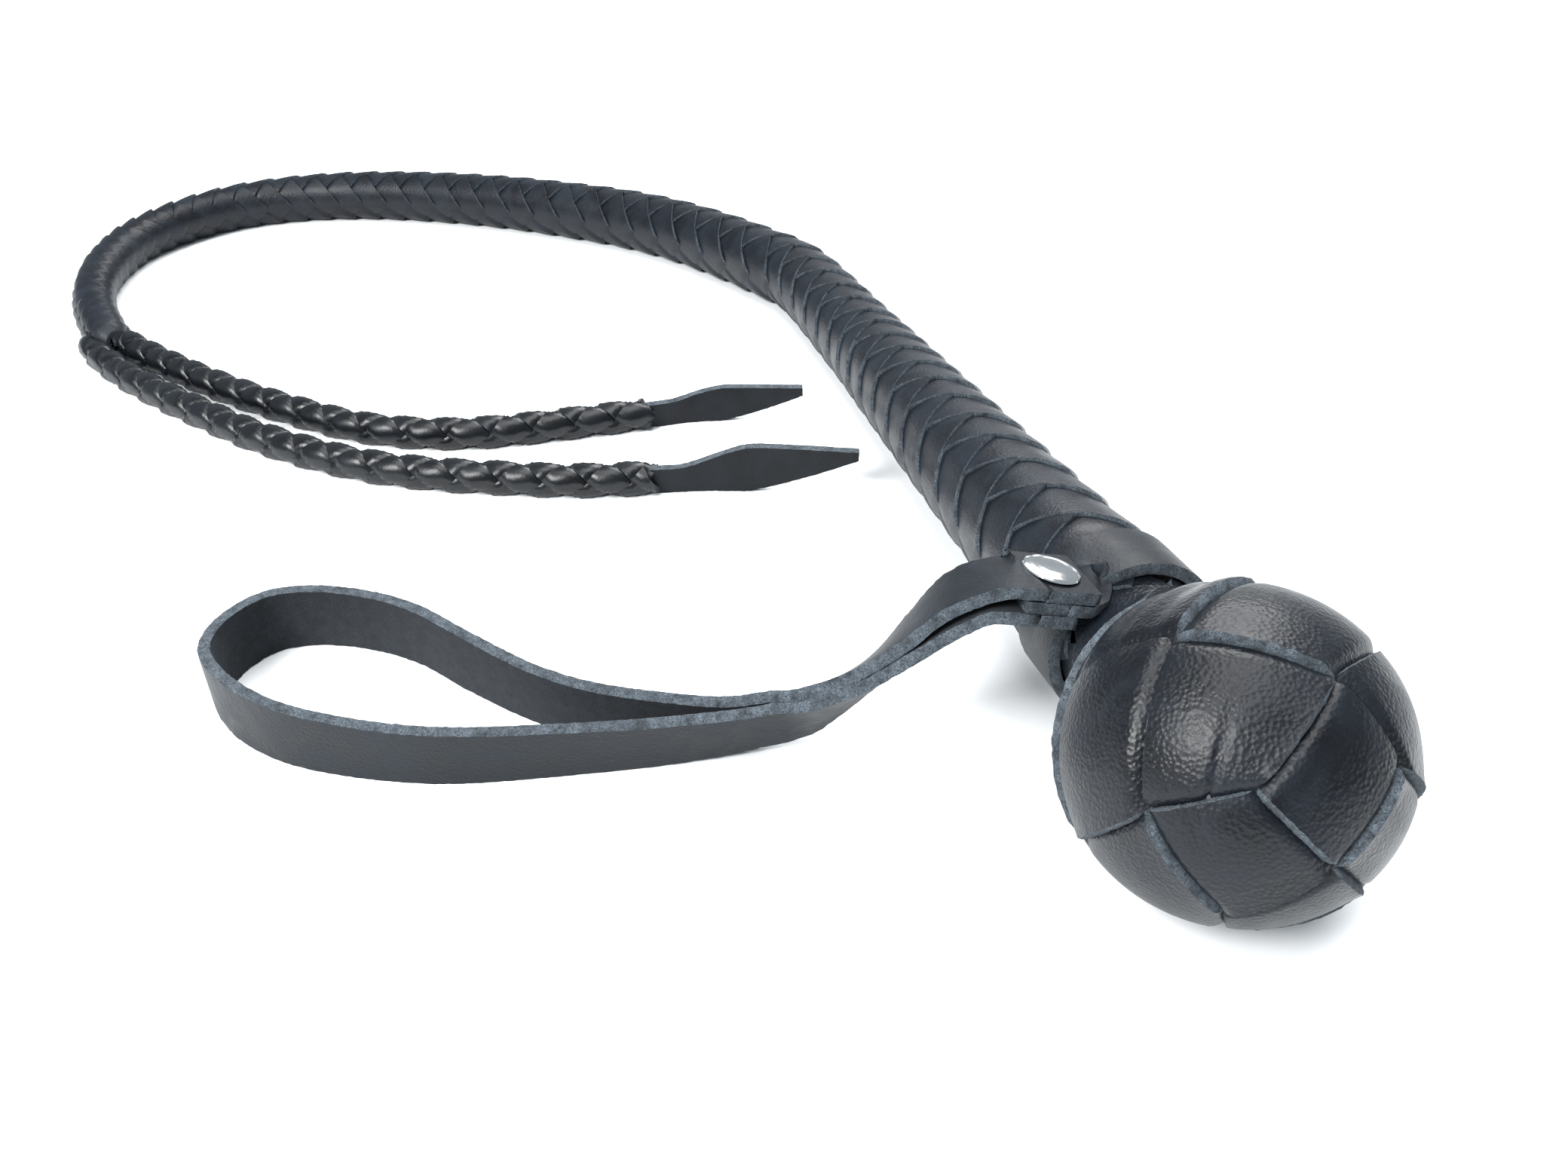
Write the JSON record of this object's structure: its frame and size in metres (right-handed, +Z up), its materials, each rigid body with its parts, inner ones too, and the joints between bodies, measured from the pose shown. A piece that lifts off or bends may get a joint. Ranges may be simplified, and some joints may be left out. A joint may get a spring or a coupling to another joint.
{
  "type": "plaited whip",
  "caption": "Plaited leather whip with a woven ball pommel, a stiff tapered handle, a riveted wrist strap and a flexible thong that forks into tails with poppers.",
  "frame": {"origin": "the point where the ball pommel rests on the floor", "axes": "+X runs along the handle from the ball to the thong, +Y to the side that the wrist strap lies on, +Z up"},
  "size_m": [0.4354, 0.2705, 0.058],
  "materials": {
    "plait_leather": "black grained leather, satin, with rough cut edges",
    "tail_leather": "black leather, waxed to a soft gloss",
    "popper_leather": "black leather, matt, with rough cut edges",
    "strap_leather": "black strap leather, grain side satin, flesh side rough",
    "nickel": "polished nickel plate",
    "beech": "turned, stained black with the leather",
    "rattan": "rattan, stained dark",
    "belly_leather": "leather, dyed dark, rough",
    "waxed_cord": "black waxed linen cord"
  },
  "bodies": {
    "handle": {"ball_core": "beech", "rod_pin": "beech", "ball_cover": "plait_leather", "core_rod": "rattan", "handle_bolster": "belly_leather", "handle_plait": "plait_leather", "neck_binding": "waxed_cord"},
    "wrist_strap": {"strap_collar": "strap_leather", "strap_lead_upper": "strap_leather", "strap_lead_lower": "strap_leather", "rivet_cap": "nickel", "rivet_post": "nickel"},
    "wrist_loop": {"strap_loop": "strap_leather"},
    "thong_upper": {"thong_plait_1": "plait_leather", "thong_core_1": "belly_leather"},
    "thong_middle": {"thong_plait_2": "plait_leather", "thong_core_2": "belly_leather"},
    "thong_lower": {"thong_plait_3": "plait_leather", "thong_core_3": "belly_leather"},
    "tail_a": {"tail_plait_a": "tail_leather"},
    "tail_b": {"tail_plait_b": "tail_leather"},
    "leaf_a": {"popper_a": "popper_leather"},
    "leaf_b": {"popper_b": "popper_leather"}
  },
  "joints": [
    {"name": "collar_turn", "type": "hinge", "parent": "handle", "child": "wrist_strap", "pos_m": [0, 0, 0.029], "axis": [0.997, 0, -0.0775], "range_deg": [0, 170]},
    {"name": "loop_swing", "type": "hinge", "parent": "wrist_strap", "child": "wrist_loop", "pos_m": [0.04933, 0.06719, 0.0075], "axis": [0, 0, 1], "range_deg": [-15, 30]},
    {"name": "thong_root_bend", "type": "hinge", "parent": "handle", "child": "thong_upper", "pos_m": [0.23529, 0, 0.0117], "axis": [0, 0, 1], "range_deg": [-45, 0]},
    {"name": "thong_middle_bend", "type": "hinge", "parent": "thong_upper", "child": "thong_middle", "pos_m": [0.35229, 0.069, 0.0098], "axis": [0, 0, 1], "range_deg": [-45, 0]},
    {"name": "thong_lower_bend", "type": "hinge", "parent": "thong_middle", "child": "thong_lower", "pos_m": [0.39529, 0.194, 0.0078], "axis": [0, 0, 1], "range_deg": [-15, 0]},
    {"name": "tail_a_lift", "type": "hinge", "parent": "thong_lower", "child": "tail_a", "pos_m": [0.28029, 0.219, 0.004], "axis": [-0.6, 0.8, 0], "range_deg": [0, 50]},
    {"name": "tail_b_lift", "type": "hinge", "parent": "thong_lower", "child": "tail_b", "pos_m": [0.27729, 0.228, 0.004], "axis": [-0.4856, 0.8742, 0], "range_deg": [0, 50]},
    {"name": "popper_a_flex", "type": "hinge", "parent": "tail_a", "child": "leaf_a", "pos_m": [0.19229, 0.06168, 0.005], "axis": [0, 0, 1], "range_deg": [-20, 30]},
    {"name": "popper_b_flex", "type": "hinge", "parent": "tail_b", "child": "leaf_b", "pos_m": [0.15505, 0.0668, 0.005], "axis": [0, 0, 1], "range_deg": [-25, 30]}
  ]
}
